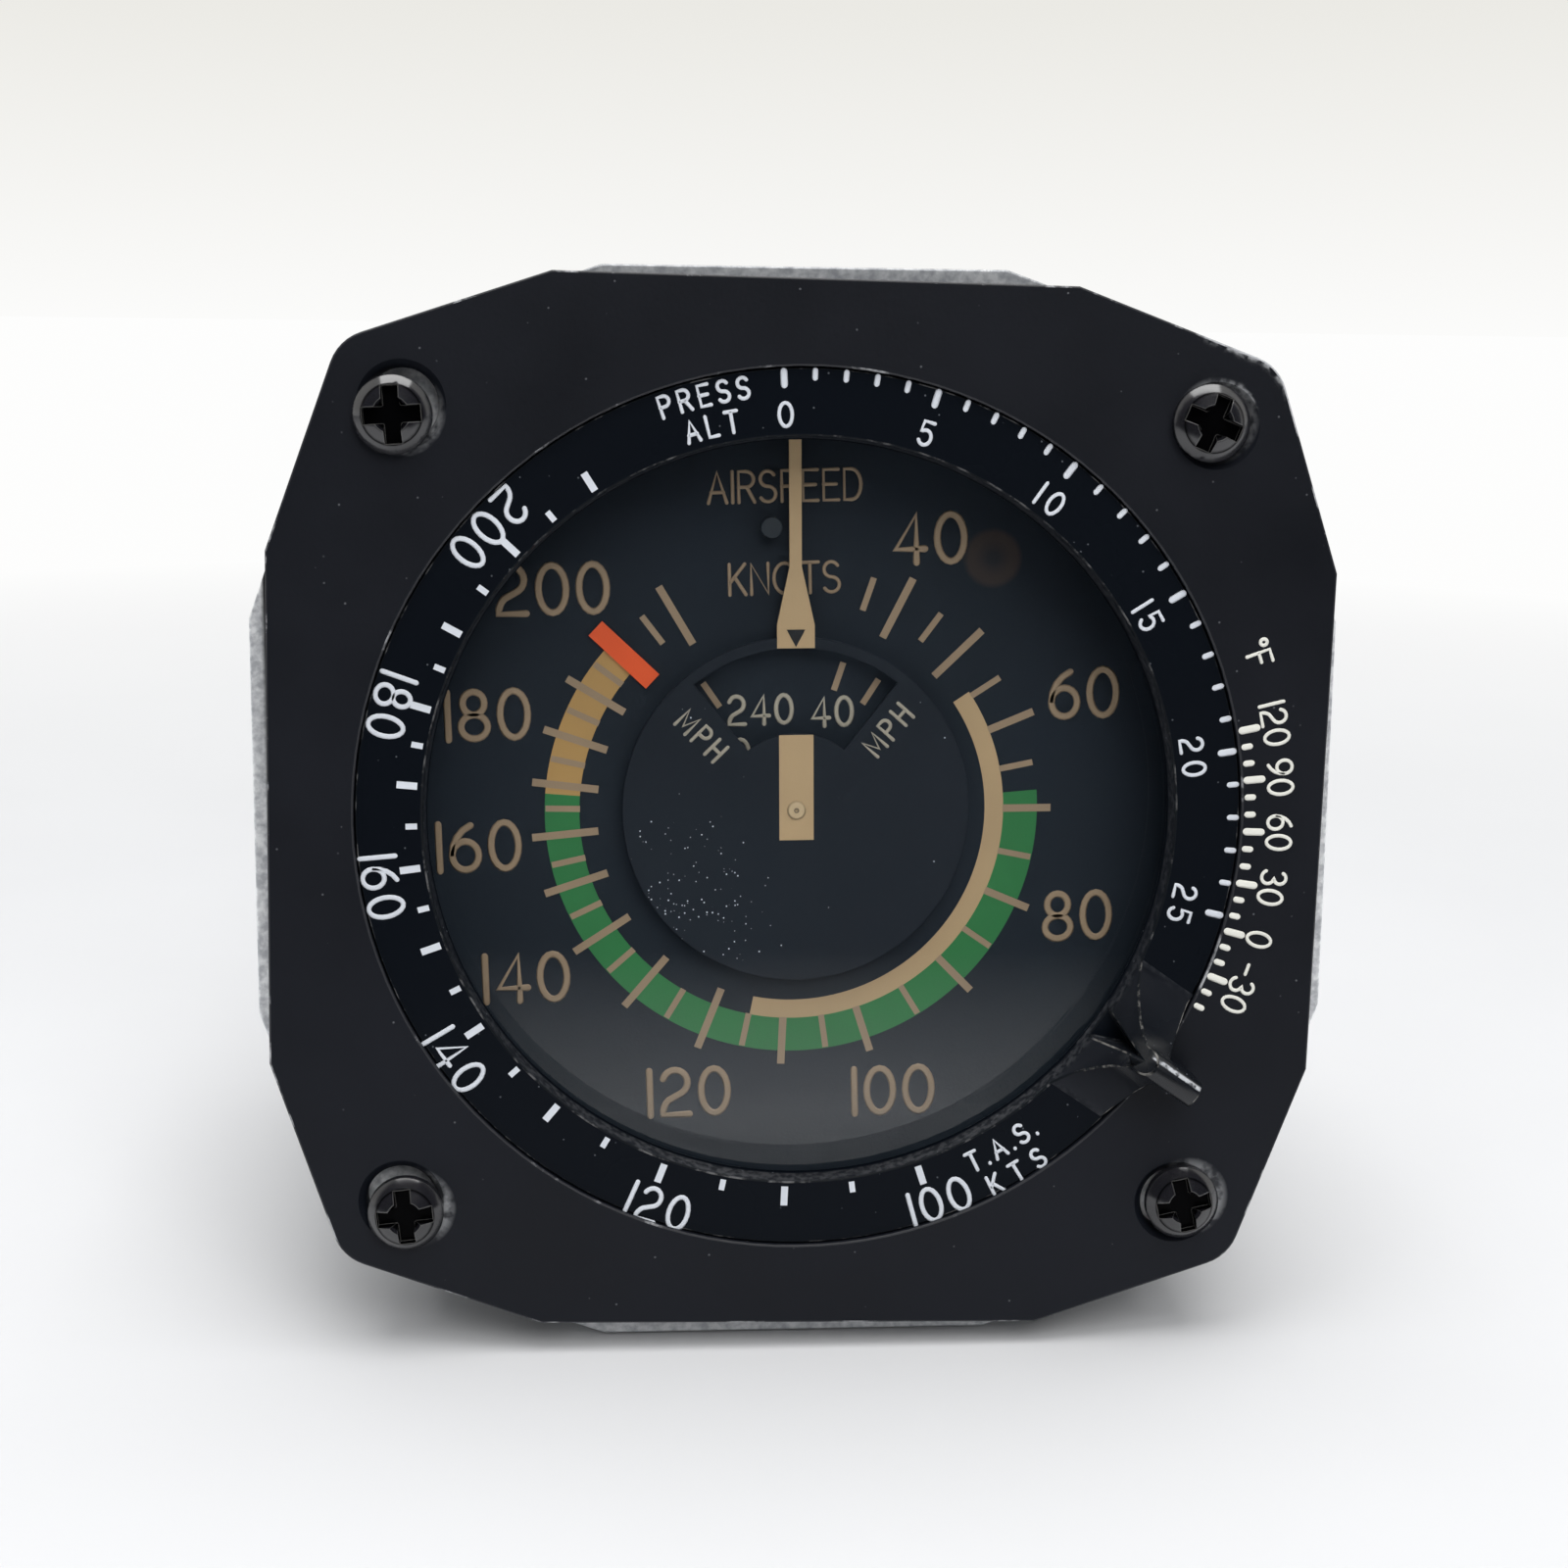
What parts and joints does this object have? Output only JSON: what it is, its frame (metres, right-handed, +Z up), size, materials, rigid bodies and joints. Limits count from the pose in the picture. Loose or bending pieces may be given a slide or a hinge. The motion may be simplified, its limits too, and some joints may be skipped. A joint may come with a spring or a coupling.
{
  "type": "true airspeed indicator",
  "caption": "Panel instrument with a dial, pointer, turning true-airspeed ring and finger tab, on a flanged case with rear pitot and static ports.",
  "frame": {"origin": "on the case axis, at the rear face of the mounting flange", "axes": "+X to the right of the dial, +Y into the instrument, +Z up"},
  "size_m": [0.086, 0.0668, 0.086],
  "materials": {
    "case_black": "black finish on aluminium",
    "flange_metal": "machined, bare on its edges",
    "bezel_black": "matte black",
    "screw_black": "glossy black oxide",
    "ring_gloss": "gloss black, engraved",
    "clear_glass": "clear, dusty",
    "gasket_rubber": "matte",
    "dial_black": "matte black",
    "steel": "turned",
    "brass": "turned and stamped",
    "aluminium": "machined",
    "capsule_bronze": "formed sheet"
  },
  "bodies": {
    "housing": {"case": "case_black", "mounting_flange": "flange_metal", "bezel_plate": "bezel_black", "mounting_screws": "screw_black", "ring_washer": "steel", "glass_retainer": "bezel_black", "glass": "clear_glass", "glass_gasket": "gasket_rubber", "dial": "dial_black", "zero_stop_pin": "steel", "front_plate": "brass", "base_plate": "brass", "pillars": "aluminium", "pillar_screws": "steel", "mount_posts": "aluminium", "post_screws": "screw_black", "handstaff_front_bush": "brass", "handstaff_rear_bush": "brass", "sector_front_bush": "brass", "sector_rear_bush": "brass", "rocker_bracket": "aluminium", "bracket_screws": "steel", "rocker_pivot_screws": "steel", "hairspring": "steel", "hairspring_stud": "brass", "capsule_front_half": "capsule_bronze", "capsule_rear_half": "capsule_bronze"},
    "ring": {"tas_ring": "ring_gloss"},
    "pointer": {"pointer": "dial_black", "pointer_hub": "brass", "handstaff": "steel", "pinion": "brass", "hairspring_collet": "brass"},
    "sector": {"sector_gear": "brass", "sector_arbor": "steel", "sector_pin": "steel"},
    "rocker": {"rocker_shaft": "steel", "rocker_arm": "aluminium", "rocker_lever": "aluminium"},
    "capsule": {"capsule_stud": "brass"}
  },
  "joints": [
    {"name": "ring_turn", "type": "hinge", "parent": "housing", "child": "ring", "pos_m": [0.0001, 0, 0.0003], "axis": [0, 1, 0], "continuous": true},
    {"name": "pointer_spin", "type": "hinge", "parent": "housing", "child": "pointer", "pos_m": [0, 0, 0], "axis": [0, 1, 0], "range_deg": [0, 330], "stiffness_Nm_per_rad": 0.00001, "deforming": ["hairspring"]},
    {"name": "sector_swing", "type": "hinge", "parent": "housing", "child": "sector", "pos_m": [-0.01886, 0, -0.01054], "axis": [0, 1, 0], "range_deg": [-41.25, 0]},
    {"name": "rocker_swing", "type": "hinge", "parent": "housing", "child": "rocker", "pos_m": [-0.01751, 0.0225, 0], "axis": [0, 0, -1], "range_deg": [0, 23.72]},
    {"name": "capsule_slide", "type": "slide", "parent": "housing", "child": "capsule", "axis": [0, -1, 0], "range_m": [0, 0.00231], "deforming": ["capsule_front_half"]}
  ],
  "couplings": [
    {"joint": "sector_swing", "follows": "pointer_spin", "ratio": -0.125},
    {"joint": "rocker_swing", "follows": "pointer_spin", "ratio": 0.071865},
    {"joint": "capsule_slide", "follows": "pointer_spin", "m_per_rad": 0.00040098}
  ]
}
